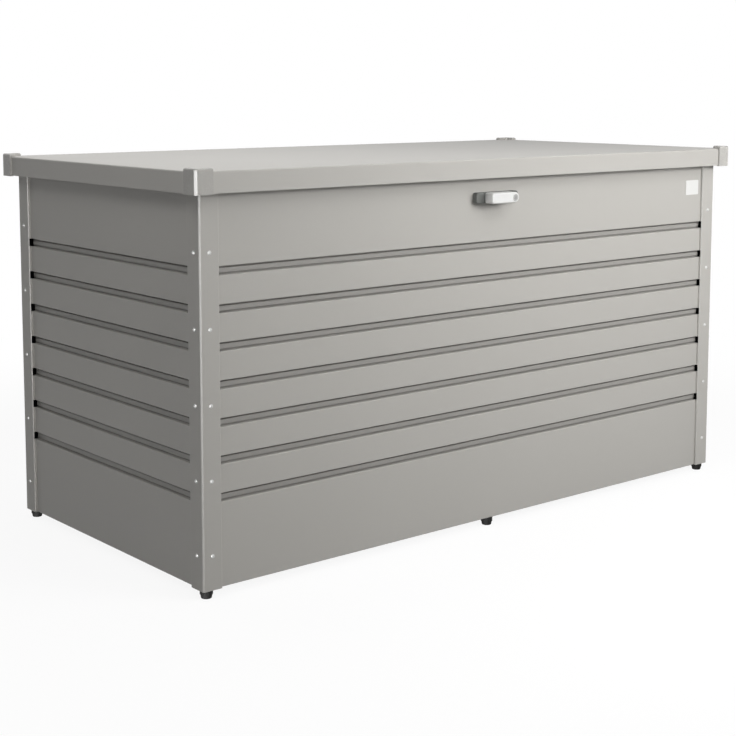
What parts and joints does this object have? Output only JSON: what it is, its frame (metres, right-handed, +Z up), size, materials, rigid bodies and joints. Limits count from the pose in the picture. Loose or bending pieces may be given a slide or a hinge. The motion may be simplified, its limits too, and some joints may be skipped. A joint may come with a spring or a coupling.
{
  "type": "deck storage box",
  "caption": "Outdoor storage box of grey painted sheet metal with grooved walls, corner posts, a rear-hinged lid on gas struts, a turning lock handle and small black feet.",
  "frame": {"origin": "on the ground under the middle of the box", "axes": "+X to the right along the front, +Y to the rear, +Z up; the front with the lock faces -Y"},
  "size_m": [1.59, 0.798, 0.831],
  "materials": {
    "panel_paint": "satin powder coat, warm quartz grey",
    "cap_plastic": "moulded plastic in the panels' grey, satin",
    "galvanised_sheet": "galvanised sheet with a faint spangle",
    "foot_plastic": "black moulded plastic",
    "zinc_fastener": "bright zinc plate",
    "hinge_steel": "zinc-plated steel",
    "strut_black": "black painted tube",
    "strut_chrome": "ground and chromed rod",
    "lock_black": "dark grey moulded base",
    "lock_silver": "satin die-cast lever",
    "lock_brass": "turned key plug",
    "lock_steel": "zinc-plated cam",
    "buffer_rubber": "black rubber",
    "plate_white": "blank white plate"
  },
  "bodies": {
    "box": {"front_wall": "panel_paint", "rear_wall": "panel_paint", "left_wall": "panel_paint", "right_wall": "panel_paint", "corner_post_front_left": "panel_paint", "corner_post_front_right": "panel_paint", "corner_post_rear_left": "panel_paint", "corner_post_rear_right": "panel_paint", "floor_panel": "galvanised_sheet", "floor_bearer_left": "galvanised_sheet", "floor_bearer_middle": "galvanised_sheet", "floor_bearer_right": "galvanised_sheet", "strut_body_bracket_left": "galvanised_sheet", "strut_body_bracket_right": "galvanised_sheet", "foot_front_left": "foot_plastic", "foot_front_middle": "foot_plastic", "foot_front_right": "foot_plastic", "foot_rear_left": "foot_plastic", "foot_rear_middle": "foot_plastic", "foot_rear_right": "foot_plastic", "post_screws": "zinc_fastener", "post_nuts": "zinc_fastener", "foot_screws": "zinc_fastener", "foot_nuts": "zinc_fastener", "lock_nut": "zinc_fastener", "hinge_body_rivets": "zinc_fastener", "hinge_left_pin": "zinc_fastener", "hinge_middle_pin": "zinc_fastener", "hinge_right_pin": "zinc_fastener", "hinge_left_body_leaf": "hinge_steel", "hinge_middle_body_leaf": "hinge_steel", "hinge_right_body_leaf": "hinge_steel", "lock_base": "lock_black", "lid_buffers": "buffer_rubber", "groove_seals": "buffer_rubber", "blank_plate": "plate_white"},
    "lid": {"lid_panel": "panel_paint", "lid_catch": "galvanised_sheet", "hinge_lid_rivets": "zinc_fastener", "lid_cap_front_left": "cap_plastic", "lid_cap_front_right": "cap_plastic", "lid_cap_rear_left": "cap_plastic", "lid_cap_rear_right": "cap_plastic", "lid_stiffener_left": "galvanised_sheet", "lid_stiffener_middle": "galvanised_sheet", "lid_stiffener_right": "galvanised_sheet", "hinge_left_lid_leaf": "hinge_steel", "hinge_middle_lid_leaf": "hinge_steel", "hinge_right_lid_leaf": "hinge_steel", "strut_lid_bracket_left": "galvanised_sheet", "strut_lid_bracket_right": "galvanised_sheet"},
    "strut_cylinder_left": {"strut_cylinder_left": "strut_black"},
    "strut_cylinder_right": {"strut_cylinder_right": "strut_black"},
    "strut_rod_left": {"strut_rod_left": "strut_chrome"},
    "strut_rod_right": {"strut_rod_right": "strut_chrome"},
    "lock_handle": {"lock_handle": "lock_silver", "lock_cam": "lock_steel", "lock_cam_screw": "zinc_fastener"},
    "key_plug": {"key_plug": "lock_brass"}
  },
  "joints": [
    {"name": "lid_hinge", "type": "hinge", "parent": "box", "child": "lid", "pos_m": [0, 0.372, 0.781], "axis": [-1, 0, 0], "range_deg": [0, 85]},
    {"name": "strut_cylinder_left_pivot", "type": "hinge", "parent": "box", "child": "strut_cylinder_left", "pos_m": [-0.735, 0.28722, 0.52466], "axis": [-1, 0, 0], "range_deg": [0, 42.5]},
    {"name": "strut_rod_left_pivot", "type": "hinge", "parent": "lid", "child": "strut_rod_left", "pos_m": [-0.735, 0.10267, 0.8], "axis": [1, 0, 0], "range_deg": [0, 42.5]},
    {"name": "strut_cylinder_right_pivot", "type": "hinge", "parent": "box", "child": "strut_cylinder_right", "pos_m": [0.735, 0.28722, 0.52466], "axis": [-1, 0, 0], "range_deg": [0, 42.5]},
    {"name": "strut_rod_right_pivot", "type": "hinge", "parent": "lid", "child": "strut_rod_right", "pos_m": [0.735, 0.10267, 0.8], "axis": [1, 0, 0], "range_deg": [0, 42.5]},
    {"name": "lock_turn", "type": "hinge", "parent": "box", "child": "lock_handle", "pos_m": [0, -0.39, 0.7395], "axis": [0, 1, 0], "range_deg": [0, 90]},
    {"name": "key_turn", "type": "hinge", "parent": "lock_handle", "child": "key_plug", "pos_m": [0.0285, -0.397, 0.7395], "axis": [0, 1, 0], "range_deg": [0, 90]}
  ],
  "couplings": [
    {"joint": "strut_cylinder_left_pivot", "follows": "lid_hinge", "ratio": 0.5},
    {"joint": "strut_rod_left_pivot", "follows": "lid_hinge", "ratio": 0.5},
    {"joint": "strut_cylinder_right_pivot", "follows": "lid_hinge", "ratio": 0.5},
    {"joint": "strut_rod_right_pivot", "follows": "lid_hinge", "ratio": 0.5}
  ]
}
